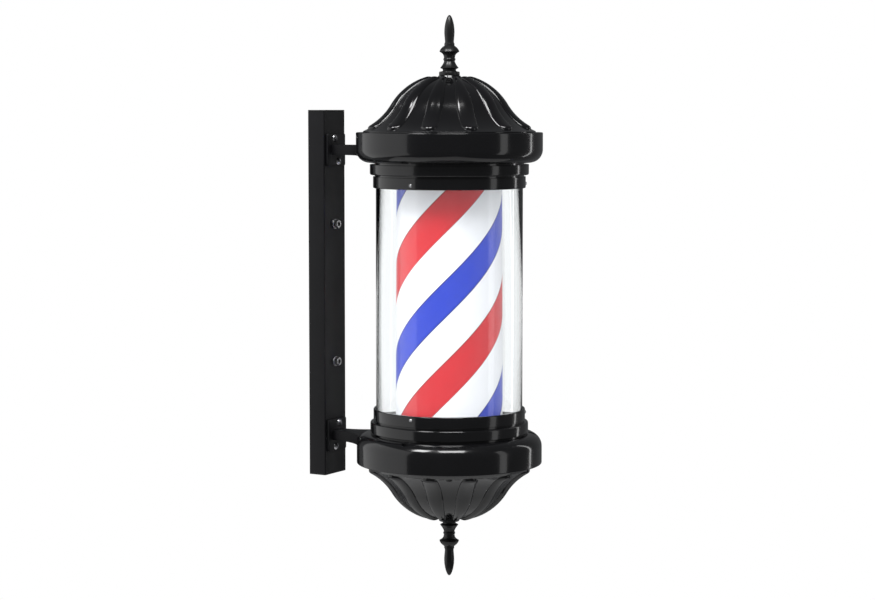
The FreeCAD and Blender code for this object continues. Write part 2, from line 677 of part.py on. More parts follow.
def finial(label, half):
    """Turned finial: base ring, flared foot, knob with a sharp edge and a long spire."""
    stem = "Dims.pipe_radius" if half == "upper" else "Dims.rod_radius"
    outline = (
        (stem, 0), (13.0, 0), (13.0, 4.5), (8.0, 6.5), (11.5, 9.5), (6.7, 17.0, -12.0), (7.6, 19.5, 1.8),
        (7.0, 22.5), (12.5, 29.8, -9.0), (6.2, 37.0, 8.5), (6.2, 40.0), (5.6, 42.5), (6.4, 54.5, 45.0),
        (0.4, "Dims.finial_height", 34.0), (0, "Dims.finial_height"), (0, 8.0), (stem, 8.0),
    )
    placed = []
    for corner in outline:
        level = corner[1]
        placed.append((corner[0], "%s + %s" % (DOME_HIGH, level)) + corner[2:])
    keep(lathe("Finial", placed), label, half)


# ------------------------------------------------------------------------------------------- turning cylinder
def striped_cylinder():
    """Thin cylinder that carries the stripes."""
    inside = "(Dims.film_radius - Dims.film_wall)"
    body = lathe("Striped_cylinder", (
        (inside, "-Dims.film_half"), ("Dims.film_radius", "-Dims.film_half"),
        ("Dims.film_radius", "Dims.film_half"), (inside, "Dims.film_half"),
    ))
    keep(body, "striped_cylinder", "upper")


def cylinder_cap(label, half, bore):
    """Disc inside one end of the striped cylinder, with a skirt along its wall."""
    rim = "(Dims.film_radius - Dims.film_wall)"
    skirt = 9.0
    body = lathe("Cylinder_cap", (
        (bore, "Dims.film_half - Dims.cap_thick"),
        (rim + " - 2", "Dims.film_half - Dims.cap_thick"),
        (rim + " - 2", "Dims.film_half - Dims.cap_thick - %s" % skirt),
        (rim, "Dims.film_half - Dims.cap_thick - %s" % skirt),
        (rim, "Dims.film_half"),
        (bore, "Dims.film_half"),
    ))
    keep(body, label, half)


def guide_bush():
    """Flanged bush in the top cap that turns on the lamp pipe."""
    bore = "(Dims.pipe_radius + Dims.running_gap)"
    low = "(Dims.film_half - Dims.cap_thick)"
    body = lathe("Guide_bush", (
        (bore, low + " - 3"), ("Dims.bush_radius", low + " - 3"), ("Dims.bush_radius", "Dims.film_half"),
        ("Dims.bush_radius + 3", "Dims.film_half"), ("Dims.bush_radius + 3", "Dims.film_half + 2"),
        (bore, "Dims.film_half + 2"),
    ))
    keep(body, "guide_bush", "upper")


HUB_CIRCLE = "(Dims.hub_radius + Dims.hub_flange) / 2"


def drive_hub():
    """Hub on the motor shaft: a flange under the base cap's centre and a boss through it."""
    seat = "(Dims.film_half - Dims.cap_thick)"
    body = lathe("Drive_hub", (
        ("Dims.shaft_radius", "Dims.film_half"), ("Dims.shaft_radius", seat + " - 12"),
        ("Dims.hub_radius", seat + " - 12"), ("Dims.hub_radius", seat + " - 2.5"),
        ("Dims.hub_flange", seat + " - 2.5"), ("Dims.hub_flange", seat),
        ("Dims.hub_radius", seat), ("Dims.hub_radius", "Dims.film_half"),
    ))
    set_hole = rod(M3, "Dims.hub_radius", z=seat + " - 7")
    set_hole.Placement.Rotation = radial(0)
    screw_holes = around(upright_rod, HUB_SCREW_ANGLES, circle=HUB_CIRCLE, radius=M2_5,
                         low=seat + " - 4", height=5)
    keep(cut(body, set_hole, *screw_holes), "drive_hub", "lower")
    grub = rod(M3, "Dims.hub_radius - Dims.shaft_radius", x="Dims.shaft_radius", z=seat + " - 7",
               axis=Y_AXIS, angle=90)
    socket = hexagon(1.5, 2, x="Dims.hub_radius - 2", z=seat + " - 7", axis=Y_AXIS, angle=90)
    keep(cut(grub, socket), "hub_set_screw", "lower")
    screws = []
    for angle in HUB_SCREW_ANGLES:
        x, y = polar(HUB_CIRCLE, angle)
        screw = pan_screw(2.2, 1.4, M2_5, 5, x=x, y=y, z=seat + " - 2.5", axis=X_AXIS, angle=180)
        screws.append(screw)
    keep(group(screws), "hub_screws", "lower")


def base_cap():
    """Disc inside the lower end of the cylinder, with holes for the hub and its screws."""
    rim = "(Dims.film_radius - Dims.film_wall)"
    low = "Dims.film_half - Dims.cap_thick"
    body = lathe("Base_cap", (
        ("Dims.hub_radius", low), (rim + " - 2", low), (rim + " - 2", low + " - 9"), (rim, low + " - 9"),
        (rim, "Dims.film_half"), ("Dims.hub_radius", "Dims.film_half"),
    ))
    holes = around(upright_rod, HUB_SCREW_ANGLES, circle=HUB_CIRCLE, radius=M2_5,
                   low=low + " - 1", height=3.6)
    keep(cut(body, *holes), "cylinder_base_cap", "lower")


# ------------------------------------------------------------------------------------------- motor
MOTOR_LOW = "(%s - Dims.motor_lift)" % DECK_LOW
MOTOR_HIGH = "(%s - Dims.motor_lift - Dims.motor_height)" % DECK_LOW
GEARBOX_HIGH = "(%s - Dims.motor_lift - Dims.motor_height - Dims.gearbox_height)" % DECK_LOW


def motor():
    """Slow synchronous gear motor on two standoffs over the lower deck; its shaft points at the cylinder."""
    can = rod("Dims.motor_radius", "Dims.motor_height", z=MOTOR_HIGH)
    ear = box("2 * Dims.ear_reach + 9", 12, 1.2, x="-Dims.ear_reach - 4.5", y="-6", z=MOTOR_HIGH)
    ear_holes = [rod(M3_5, 3, x="%d * Dims.ear_reach" % side, z=MOTOR_HIGH + " - 1") for side in (1, -1)]
    shaft_bore = "(Dims.shaft_radius + Dims.running_gap)"
    pocket = rod(shaft_bore, 10, z=MOTOR_HIGH + " - 1")
    keep(cut(fuse(can, ear), pocket, *ear_holes), "motor_body", "lower")
    gearbox = lathe("Gearbox", (
        (shaft_bore, MOTOR_HIGH), ("Dims.gearbox_radius", MOTOR_HIGH), ("Dims.gearbox_radius", GEARBOX_HIGH),
        ("6", GEARBOX_HIGH), ("6", GEARBOX_HIGH + " - 1.5"), (shaft_bore, GEARBOX_HIGH + " - 1.5"),
    ))
    keep(gearbox, "motor_gearbox", "lower")
    shaft_low = "(Dims.film_half - Dims.cap_thick - 13)"
    shaft = rod("Dims.shaft_radius", "%s + 6 - %s" % (MOTOR_HIGH, shaft_low), z=shaft_low)
    keep(group([shaft]), "motor_shaft", "lower")
    standoffs = []
    screws = []
    for side in (1, -1):
        x = "%d * Dims.ear_reach" % side
        column = hexagon(6, "%s - %s - 1.2" % (DECK_LOW, MOTOR_HIGH), x=x, z=MOTOR_HIGH + " + 1.2")
        standoffs.append(cut(column, rod(M3_5, "Dims.motor_lift + Dims.motor_height", x=x, z=MOTOR_HIGH)))
        screws.append(pan_screw(3, 2, M3_5, 10, x=x, z=MOTOR_HIGH, axis=X_AXIS, angle=180))
        screws.append(pan_screw(3, 2, M3_5, 10, x=x, z=DECK_HIGH))
    keep(group(standoffs), "motor_standoffs", "lower")
    keep(group(screws), "motor_screws", "lower")


def terminal_block():
    """Three-way terminal block on the lower deck, where the supply meets the motor and lamp leads."""
    length, width, height, pitch = 30.0, 18.0, 15.0, 9.0
    x0, y0 = 40.0, 20.0
    block = box(length, width, height, x=x0, y=y0, z="%s" % DECK_HIGH)
    wells = []
    screws = []
    for column in range(3):
        for line in (5.0, 13.0):
            x = x0 + 6.0 + pitch * column
            wells.append(rod(2.2, 4.0, x=x, y=y0 + line, z="%s + 11" % DECK_HIGH))
            screws.append(rod(2.0, 2.0, x=x, y=y0 + line, z="%s + 11" % DECK_HIGH))
    keep(cut(block, *wells), "terminal_block", "lower")
    keep(group(screws), "terminal_screws", "lower")


# ------------------------------------------------------------------------------------------- lamp
def lamp():
    """Lamp pipe from the finial down through deck and bush, with a screw-base holder and a lamp on its end."""
    pipe_end = "(%s + 8)" % DOME_HIGH
    top = "Dims.holder_top"
    pipe = lathe("Lamp_pipe", (
        ("Dims.pipe_bore", top + " - 8"), ("Dims.pipe_radius", top + " - 8"),
        ("Dims.pipe_radius", pipe_end), ("Dims.pipe_bore", pipe_end),
    ))
    keep(pipe, "lamp_pipe", "upper")
    nuts = []
    for low in (DECK_LOW + " - 4", DECK_HIGH):
        nuts.append(cut(hexagon("14", "4", z=low), rod("Dims.pipe_radius", "4", z=low)))
    keep(group(nuts), "pipe_nuts", "upper")
    holder = lathe("Lamp_holder", (
        ("Dims.pipe_radius", top + " - 8"), ("Dims.pipe_radius", top), ("11", top),
        ("Dims.holder_radius", top + " - 12", "-14"), ("Dims.holder_radius", top + " - 46"),
        ("Dims.holder_radius - 4", top + " - 46"), ("Dims.holder_radius - 4", top + " - 14"),
        ("Dims.pipe_bore", top + " - 14"), ("Dims.pipe_bore", top + " - 8"),
    ))
    keep(holder, "lamp_holder", "upper")
    shoulder = "(%s - 44)" % top
    cap = lathe("Lamp_cap", (
        (0, top + " - 17"), ("5", top + " - 17"), ("13", top + " - 22"), ("13", shoulder), (0, shoulder),
    ))
    keep(cap, "lamp_cap", "upper")
    globe = lathe("Lamp_globe", (
        (0, shoulder), ("14", shoulder), ("Dims.bulb_radius", shoulder + " - 38", "-70"),
        (0, shoulder + " - 38 - Dims.bulb_radius", "-Dims.bulb_radius"),
    ))
    keep(globe, "lamp_globe", "upper")


def tie_rod():
    """Threaded rod that draws the lower dome and finial up to the lower deck."""
    low = "(%s - 5)" % DECK_LOW
    high = "(%s + 8)" % DOME_HIGH
    keep(group([rod("Dims.rod_radius", "%s - %s" % (high, low), z=low)]), "tie_rod", "lower")
    nuts = []
    for nut_low in (DECK_LOW + " - 5", DECK_HIGH):
        nuts.append(cut(hexagon("13", "5", z=nut_low), rod("Dims.rod_radius", "5", z=nut_low)))
    keep(group(nuts), "tie_rod_nuts", "lower")


# ------------------------------------------------------------------------------------------- cable gland
def gland_tool(radius, start, length):
    """A rod along the gland's axis, in the lower half's own frame."""
    x, y = polar(start, -DIMENSIONS["gland_angle"])
    piece = rod(radius, length, x=x, y=y, z="Dims.gland_level")
    piece.Placement.Rotation = radial(-DIMENSIONS["gland_angle"])
    return piece


def gland_hexagon(flats, start, length):
    """A hexagonal prism along the gland's axis."""
    x, y = polar(start, -DIMENSIONS["gland_angle"])
    piece = hexagon(flats, length, x=x, y=y, z="Dims.gland_level")
    piece.Placement.Rotation = radial(-DIMENSIONS["gland_angle"])
    return piece


def cable_gland():
    """Gland for the supply cord in the side of the lower drum, on the side turned to the wall."""
    nut_thick = 2.5
    nut_start = "(Dims.drum_radius - Dims.shell - %s - 0.25)" % nut_thick
    thread = gland_tool("Dims.gland_radius", nut_start, "Dims.drum_radius - %s" % nut_start)
    body_part = gland_hexagon("Dims.gland_flats", "Dims.drum_radius", 5)
    cap = gland_tool("Dims.gland_flats * 0.45", "Dims.drum_radius + 5", 6)
    bore = gland_tool("Dims.gland_bore", nut_start + " - 1", 20)
    keep(cut(fuse(thread, body_part, cap), bore), "cable_gland", "lower")
    nut = cut(gland_hexagon("Dims.gland_flats", nut_start, nut_thick),
              gland_tool("Dims.gland_radius", nut_start + " - 1", nut_thick + 2))
    keep(nut, "gland_locknut", "lower")


def build():
    """Every piece of the lamp."""
    wall_bar()
    bar_end_cap("bar_top_cap", 1)
    bar_end_cap("bar_bottom_cap", -1)
    wall_bolt_nuts()
    for half, way in (("upper", 1), ("lower", -1)):
        arm(half + "_arm", way)
        arm_screws(half + "_arm_screws", way)
        deck_screws(half + "_deck_screws", way)
        drum(half + "_drum", half)
        drum_screws(half + "_drum_screws", half)
        deck(half + "_deck", half)
        collar(half + "_collar", half)
        collar_screws(half + "_collar_screws", half)
        glass_ring(half + "_glass_ring", half)
        glass_screws(half + "_glass_screws", half)
        gasket(half + "_gasket", half)
        dome(half + "_dome", half)
        finial(half + "_finial", half)
    outer_glass()
    striped_cylinder()
    cylinder_cap("cylinder_top_cap", "upper", "Dims.bush_radius")
    base_cap()
    guide_bush()
    drive_hub()
    motor()
    terminal_block()
    lamp()
    tie_rod()
    cable_gland()


def check_document():
    """Stops the script if an object failed or a piece has no valid solid."""
    doc.recompute()
    failed = [item.Name for item in doc.Objects if "Invalid" in item.State or "Error" in item.State]
    for piece in nodes:
        if piece.Shape.isNull() or not piece.Shape.isValid() or not piece.Shape.Solids:
            failed.append(piece.Label)
    if failed:
        raise RuntimeError("failed: " + ", ".join(failed))


build()
check_document()
os.makedirs("parts", exist_ok=True)
for piece in nodes:
    piece.Shape.exportStep("parts/%s.step" % piece.Label)
    print("%-22s solids %2d  volume %10.1f" % (piece.Label, len(piece.Shape.Solids), piece.Shape.Volume))
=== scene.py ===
"""Barber pole light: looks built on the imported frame, in metres, in the frame's own axes."""

import json
import math

import bmesh
import bpy
from mathutils import Matrix, Vector


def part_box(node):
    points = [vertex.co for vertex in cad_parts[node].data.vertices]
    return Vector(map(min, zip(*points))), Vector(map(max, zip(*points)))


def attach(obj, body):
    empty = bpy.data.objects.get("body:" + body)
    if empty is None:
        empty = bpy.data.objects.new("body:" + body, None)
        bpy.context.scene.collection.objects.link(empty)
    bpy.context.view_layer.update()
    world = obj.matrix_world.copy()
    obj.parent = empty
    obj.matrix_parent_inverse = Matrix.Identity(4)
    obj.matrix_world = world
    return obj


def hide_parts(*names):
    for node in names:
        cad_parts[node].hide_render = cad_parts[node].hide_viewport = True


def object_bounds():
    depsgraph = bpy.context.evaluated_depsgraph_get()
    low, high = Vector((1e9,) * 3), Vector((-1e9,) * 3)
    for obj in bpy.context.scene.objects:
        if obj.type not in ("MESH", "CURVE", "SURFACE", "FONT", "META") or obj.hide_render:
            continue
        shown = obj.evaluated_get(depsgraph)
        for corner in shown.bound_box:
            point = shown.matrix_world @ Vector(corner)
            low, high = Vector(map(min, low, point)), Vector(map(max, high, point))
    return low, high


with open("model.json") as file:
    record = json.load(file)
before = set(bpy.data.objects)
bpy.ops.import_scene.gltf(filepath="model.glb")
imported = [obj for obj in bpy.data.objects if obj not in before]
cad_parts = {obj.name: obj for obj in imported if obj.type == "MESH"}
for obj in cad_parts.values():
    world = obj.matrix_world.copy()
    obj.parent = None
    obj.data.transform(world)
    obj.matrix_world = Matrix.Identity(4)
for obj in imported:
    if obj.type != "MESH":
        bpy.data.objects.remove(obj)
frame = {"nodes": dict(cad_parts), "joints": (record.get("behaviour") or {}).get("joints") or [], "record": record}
cad_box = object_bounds()
MM = 0.001

AXIS = Vector(frame["joints"][0]["pos_m"])      # a point of the pole's axis, half way up the glass
FLIP = Matrix.Rotation(math.pi, 4, "X")         # turns the upper housing's pieces into the lower one's

# Sizes in millimetres, levels from the middle of the glass.
RING_LOW, GLASS_END, RING_HIGH, COLLAR_LOW, COLLAR_HIGH = 140.0, 151.0, 154.5, 156.5, 170.0
DRUM_LOW, DRUM_HIGH, DOME_HEIGHT = 172.0, 210.0, 71.5
DRUM_RADIUS, SHOULDER, DOME_RADIUS, COLLAR_RADIUS, RING_RADIUS = 118.0, 16.5, 109.0, 100.5, 96.5
SPIGOT_RADIUS, GLASS_RADIUS, GLASS_WALL, FILM_RADIUS, FILM_HALF = 94.5, 93.0, 3.0, 67.5, 160.0
SCREW_ANGLES, SCREW_CIRCLE, NOTCH_RADIUS, NOTCH_TOP = (180.0, 300.0, 60.0), 106.0, 6.0, 182.0
CROWN_R, CROWN_X, HOLLOW_R, HOLLOW_X, DOME_BOSS, DOME_RIM = 75.0, 8.0, 80.0, 140.0, 15.0, 1.4
DOME_SINK = {"upper": 2.8, "lower": 0.8}
PETALS, PETAL_HALF_WIDTH, PETAL_HALF_ANGLE, PETAL_TOE, PETAL_RISE = 12, 11.0, 8.75, 105.0, 3.8
STRIPE_LEAD, STRIPE_PERIOD, STRIPE_ANGLE, STRIPE_START = 420.0, 210.0, 210.0, -14.1
BAR_WIDTH, BAR_DEPTH, BAR_LENGTH, BAR_WALL, BAR_CAP, BOLT_LEVEL = 50.0, 25.0, 476.0, 2.5, 2.0, 90.0
ARM_LOW, ARM_THICK, NECK_HALF, WING_HALF, FLANGE_SIDE, FLANGE_THICK = 180.0, 13.0, 12.0, 50.0, 42.0, 3.5


# ------------------------------------------------------------------------------------------- materials
def new_material(name, color, roughness, metallic=0.0):
    """A material with its Principled shader, ready for more nodes."""
    material = bpy.data.materials.new(name)
    material.use_nodes = True
    nodes = material.node_tree.nodes
    shader = nodes["Principled BSDF"]
    shader.inputs["Base Color"].default_value = (*color, 1.0)
    shader.inputs["Roughness"].default_value = roughness
    shader.inputs["Metallic"].default_value = metallic
    return material, material.node_tree, shader


def add_noise(tree, scale, detail=3.0, stretch=(1.0, 1.0, 1.0)):
    """Noise in object space."""
    coords = tree.nodes.new("ShaderNodeTexCoord")
    mapping = tree.nodes.new("ShaderNodeMapping")
    mapping.inputs["Scale"].default_value = stretch
    noise = tree.nodes.new("ShaderNodeTexNoise")
    noise.inputs["Scale"].default_value = scale
    noise.inputs["Detail"].default_value = detail
    tree.links.new(coords.outputs["Object"], mapping.inputs["Vector"])
    tree.links.new(mapping.outputs["Vector"], noise.inputs["Vector"])
    return noise


def add_ramp(tree, source, low, high, low_at=0.35, high_at=0.65):
    """A colour ramp between two values or colours, driven by a node's output."""
    ramp = tree.nodes.new("ShaderNodeValToRGB")
    ramp.color_ramp.elements[0].position = low_at
    ramp.color_ramp.elements[1].position = high_at
    ramp.color_ramp.elements[0].color = low if len(low) == 4 else (*low, 1.0)
    ramp.color_ramp.elements[1].color = high if len(high) == 4 else (*high, 1.0)
    tree.links.new(source, ramp.inputs["Fac"])
    return ramp


def grey(level):
    """An even colour for a ramp that carries a value."""
    return (level, level, level, 1.0)


def add_bump(tree, shader, source, strength, distance):
    """Bump from a height output."""
    bump = tree.nodes.new("ShaderNodeBump")
    bump.inputs["Strength"].default_value = strength
    bump.inputs["Distance"].default_value = distance
    tree.links.new(source, bump.inputs["Height"])
    tree.links.new(bump.outputs["Normal"], shader.inputs["Normal"])
    return bump


def paint(name, color, roughness, spread, coat, grain, grain_height):
    """Sprayed enamel: faint orange peel, uneven gloss and a clear coat."""
    material, tree, shader = new_material(name, color, roughness)
    shader.inputs["Coat Weight"].default_value = coat
    shader.inputs["Coat Roughness"].default_value = 0.05
    cloud = add_noise(tree, 26.0, 4.0)
    gloss = add_ramp(tree, cloud.outputs["Fac"], grey(roughness - spread), grey(roughness + spread))
    tree.links.new(gloss.outputs["Color"], shader.inputs["Roughness"])
    tint = add_ramp(tree, cloud.outputs["Fac"], tuple(c * 0.85 for c in color), tuple(c * 1.2 for c in color))
    tree.links.new(tint.outputs["Color"], shader.inputs["Base Color"])
    peel = add_noise(tree, grain, 2.0)
    add_bump(tree, shader, peel.outputs["Fac"], 0.25, grain_height)
    return material


def metal(name, color, roughness, stretch=(1.0, 1.0, 1.0), spread=0.08):
    """Plain or plated metal with fine wear."""
    material, tree, shader = new_material(name, color, roughness, 1.0)
    marks = add_noise(tree, 320.0, 4.0, stretch)
    smoothest = max(roughness - spread, 0.02)
    gloss = add_ramp(tree, marks.outputs["Fac"], grey(smoothest), grey(roughness + spread))
    tree.links.new(gloss.outputs["Color"], shader.inputs["Roughness"])
    cloud = add_noise(tree, 60.0, 3.0)
    tint = add_ramp(tree, cloud.outputs["Fac"], tuple(c * 0.9 for c in color), color)
    tree.links.new(tint.outputs["Color"], shader.inputs["Base Color"])
    return material


def plastic(name, color, roughness, grain=900.0):
    """Moulded plastic with a fine grain."""
    material, tree, shader = new_material(name, color, roughness)
    cloud = add_noise(tree, 40.0, 3.0)
    tint = add_ramp(tree, cloud.outputs["Fac"], tuple(c * 0.92 for c in color), color)
    tree.links.new(tint.outputs["Color"], shader.inputs["Base Color"])
    skin = add_noise(tree, grain, 2.0)
    add_bump(tree, shader, skin.outputs["Fac"], 0.2, 0.00004)
    return material


def clear_tube():
    """Clear acrylic that reflects but hardly bends what is behind it."""
    material, tree, shader = new_material("clear_acrylic", (0.97, 0.985, 0.99), 0.02)
    shader.inputs["Transmission Weight"].default_value = 1.0
    shader.inputs["IOR"].default_value = 1.45
    haze = add_noise(tree, 9.0, 3.0, (1.0, 1.0, 0.3))
    gloss = add_ramp(tree, haze.outputs["Fac"], grey(0.0), grey(0.03))
    tree.links.new(gloss.outputs["Color"], shader.inputs["Roughness"])
    return material


def stripe_film(name):
    """White film with a blue and a red band; the mesh's U coordinate counts periods of the helix."""
    white = (0.86, 0.87, 0.9)
    blue, blue_edge = (0.004, 0.035, 0.5), (0.002, 0.008, 0.12)
    red, red_edge = (0.6, 0.005, 0.014), (0.2, 0.002, 0.004)
    edge = 1.2 / STRIPE_PERIOD
    blue_end = 46.0 / STRIPE_PERIOD
    red_start, red_end = 103.7 / STRIPE_PERIOD, 156.0 / STRIPE_PERIOD
    material, tree, shader = new_material(name, white, 0.28)
    shader.inputs["Coat Weight"].default_value = 0.1
    shader.inputs["Coat Roughness"].default_value = 0.08
    coords = tree.nodes.new("ShaderNodeUVMap")
    coords.uv_map = "stripes"
    split = tree.nodes.new("ShaderNodeSeparateXYZ")
    wrap = tree.nodes.new("ShaderNodeMath")
    wrap.operation = "FRACT"
    ramp = tree.nodes.new("ShaderNodeValToRGB")
    tree.links.new(coords.outputs["UV"], split.inputs["Vector"])
    tree.links.new(split.outputs["X"], wrap.inputs[0])
    tree.links.new(wrap.outputs["Value"], ramp.inputs["Fac"])
    tree.links.new(ramp.outputs["Color"], shader.inputs["Base Color"])
    bands = (
        (0.0, blue_edge), (edge, blue), (blue_end - edge, blue_edge), (blue_end, white),
        (red_start, red_edge), (red_start + edge, red), (red_end - edge, red_edge), (red_end, white),
    )
    ramp.color_ramp.interpolation = "CONSTANT"
    stops = ramp.color_ramp.elements
    stops[0].color = (*bands[0][1], 1.0)
    stops.remove(stops[1])
    for place, color in bands[1:]:
        stops.new(place).color = (*color, 1.0)
    sheen = add_noise(tree, 14.0, 2.0)
    gloss = add_ramp(tree, sheen.outputs["Fac"], grey(0.36), grey(0.44))
    tree.links.new(gloss.outputs["Color"], shader.inputs["Roughness"])
    return material


MATERIALS = {
    "gloss_black": paint("gloss_black_enamel", (0.006, 0.006, 0.007), 0.16, 0.03, 0.6, 260.0, 0.00002),
    "satin_black": paint("satin_black_powder_coat", (0.01, 0.01, 0.0115), 0.42, 0.06, 0.0, 700.0, 0.00008),
    "finial_black": paint("satin_black_enamel", (0.012, 0.012, 0.012), 0.34, 0.05, 0.2, 500.0, 0.00003),
    "cap_plastic": plastic("black_plastic", (0.015, 0.015, 0.015), 0.5),
    "zinc_steel": metal("zinc_plate", (0.62, 0.62, 0.63), 0.3),
    "chrome_screw": metal("screw_chrome", (0.78, 0.78, 0.8), 0.12, spread=0.05),
    "deck_steel": metal("galvanised_sheet", (0.42, 0.43, 0.45), 0.45),
    "clear_tube": clear_tube(),
    "gasket_rubber": plastic("gasket_rubber", (0.02, 0.02, 0.02), 0.7),
    "striped_film": stripe_film("striped_film"),
    "white_plastic": plastic("white_plastic", (0.78, 0.78, 0.77), 0.45),
    "gearbox_alloy": metal("die_cast_alloy", (0.6, 0.6, 0.61), 0.4),
    "shaft_steel": metal("ground_steel", (0.55, 0.55, 0.57), 0.2),
    "terminal_plastic": plastic("terminal_plastic", (0.7, 0.67, 0.58), 0.5),
    "terminal_brass": metal("brass", (0.72, 0.53, 0.22), 0.3),
    "lamp_porcelain": plastic("porcelain", (0.85, 0.83, 0.78), 0.15),
    "lamp_cap_metal": metal("rolled_aluminium", (0.7, 0.7, 0.72), 0.3),
    "lamp_opal": plastic("opal_diffuser", (0.9, 0.89, 0.85), 0.3),
    "gland_plastic": plastic("gland_nylon", (0.02, 0.02, 0.02), 0.5),
}

MATERIALS["satin_black"].node_tree.nodes["Principled BSDF"].inputs["Specular IOR Level"].default_value = 0.28
RING_FLOOR = metal("cast_ring_floor", (0.4, 0.41, 0.42), 0.55, spread=0.1)

for row in frame["record"]["subparts"]:
    node = frame["nodes"][row["node"]]
    node.data.materials.clear()
    node.data.materials.append(MATERIALS[row["material_slot"]])


# ------------------------------------------------------------------------------------------- mesh tools
def rounded(outline, closed=True, steps=5):
    """The outline's points, with each (x, y, radius) corner eased round."""
    points = []
    for index, corner in enumerate(outline):
        here = Vector(corner[:2])
        inner = closed or 0 < index < len(outline) - 1
        if len(corner) < 3 or not inner:
            points.append(here)
            continue
        before = Vector(outline[index - 1][:2]) - here
        after = Vector(outline[(index + 1) % len(outline)][:2]) - here
        reach = corner[2] / math.tan(before.angle(after) / 2)
        reach = min(reach, 0.48 * before.length, 0.48 * after.length)
        start = here + before.normalized() * reach
        end = here + after.normalized() * reach
        for step in range(steps + 1):
            t = step / steps
            points.append(start * (1 - t) ** 2 + here * 2 * t * (1 - t) + end * t ** 2)
    return points


def arc(centre, radius, start, end, steps):
    """Points of an arc in degrees, both ends included."""
    points = []
    for step in range(steps + 1):
        angle = math.radians(start + (end - start) * step / steps)
        points.append(Vector((centre[0] + radius * math.cos(angle), centre[1] + radius * math.sin(angle))))
    return points


def grid_mesh(name, rows, closed):
    """A mesh from rows of points in millimetres; each row is a ring, and closed joins last row to first."""
    bm = bmesh.new()
    rings = [[bm.verts.new(Vector(point) * MM) for point in row] for row in rows]
    count = len(rings[0])
    pairs = list(zip(rings, rings[1:]))
    if closed:
        pairs.append((rings[-1], rings[0]))
    for low, high in pairs:
        for column in range(count):
            following = (column + 1) % count
            bm.faces.new((low[column], low[following], high[following], high[column]))
    bmesh.ops.remove_doubles(bm, verts=bm.verts, dist=1e-7)
    bmesh.ops.recalc_face_normals(bm, faces=bm.faces)
    mesh = bpy.data.meshes.new(name)
    bm.to_mesh(mesh)
    bm.free()
    return mesh


def turned(name, profile, segments=192, closed=True):
    """A mesh turned about Z from (radius, level) points."""
    turns = [2 * math.pi * k / segments for k in range(segments)]
    rows = []
    for radius, level in profile:
        rows.append([(radius * math.cos(turn), radius * math.sin(turn), level) for turn in turns])
    return grid_mesh(name, rows, closed)


def extruded(name, outline, low, high):
    """A prism over an outline of (x, y) points, in millimetres."""
    bm = bmesh.new()
    bottom = [bm.verts.new(Vector((x, y, low)) * MM) for x, y in outline]
    top = [bm.verts.new(Vector((x, y, high)) * MM) for x, y in outline]
    bm.faces.new(bottom)
    bm.faces.new(top)
    for index in range(len(outline)):
        following = (index + 1) % len(outline)
        bm.faces.new((bottom[index], bottom[following], top[following], top[index]))
    bmesh.ops.recalc_face_normals(bm, faces=bm.faces)
    mesh = bpy.data.meshes.new(name)
    bm.to_mesh(mesh)
    bm.free()
    return mesh


def joined(name, meshes):
    """One mesh from several."""
    bm = bmesh.new()
    for mesh in meshes:
        bm.from_mesh(mesh)
        bpy.data.meshes.remove(mesh)
    mesh = bpy.data.meshes.new(name)
    bm.to_mesh(mesh)
    bm.free()
    return mesh


def applied(mesh, cutters=(), bevel=0.0, angle=40.0):
    """The mesh after boolean cuts and a bevel of its sharp edges, as plain mesh data."""
    scene = bpy.context.scene
    base = bpy.data.objects.new(mesh.name, mesh)
    scene.collection.objects.link(base)
    tools = []
    for cutter in cutters:
        tool = bpy.data.objects.new("cutter", cutter)
        scene.collection.objects.link(tool)
        tools.append(tool)
        modifier = base.modifiers.new("cut", "BOOLEAN")
        modifier.operation = "DIFFERENCE"
        modifier.solver = "EXACT"
        modifier.object = tool
    if bevel:
        modifier = base.modifiers.new("bevel", "BEVEL")
        modifier.width = bevel * MM
        modifier.segments = 3
        modifier.limit_method = "ANGLE"
        modifier.angle_limit = math.radians(angle)
        modifier.harden_normals = False
    graph = bpy.context.evaluated_depsgraph_get()
    result = bpy.data.meshes.new_from_object(base.evaluated_get(graph))
    name = mesh.name
    for item in tools + [base]:
        data = item.data
        bpy.data.objects.remove(item)
        bpy.data.meshes.remove(data)
    result.name = name
    return result


def show(mesh, slot, nodes, body="housing", half=None, sharp=32.0):
    """Puts a mesh into the scene in place of CAD nodes; half sets a pole piece in its housing."""
    if half is not None:
        place = Matrix.Translation(AXIS)
        if half == "lower":
            place = place @ FLIP
        mesh.transform(place)
    mesh.polygons.foreach_set("use_smooth", [True] * len(mesh.polygons))
    mesh.set_sharp_from_angle(angle=math.radians(sharp))
    mesh.materials.clear()
    mesh.materials.append(MATERIALS[slot])
    piece = bpy.data.objects.new(mesh.name, mesh)
    bpy.context.scene.collection.objects.link(piece)
    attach(piece, body)
    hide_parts(*nodes)
    return piece


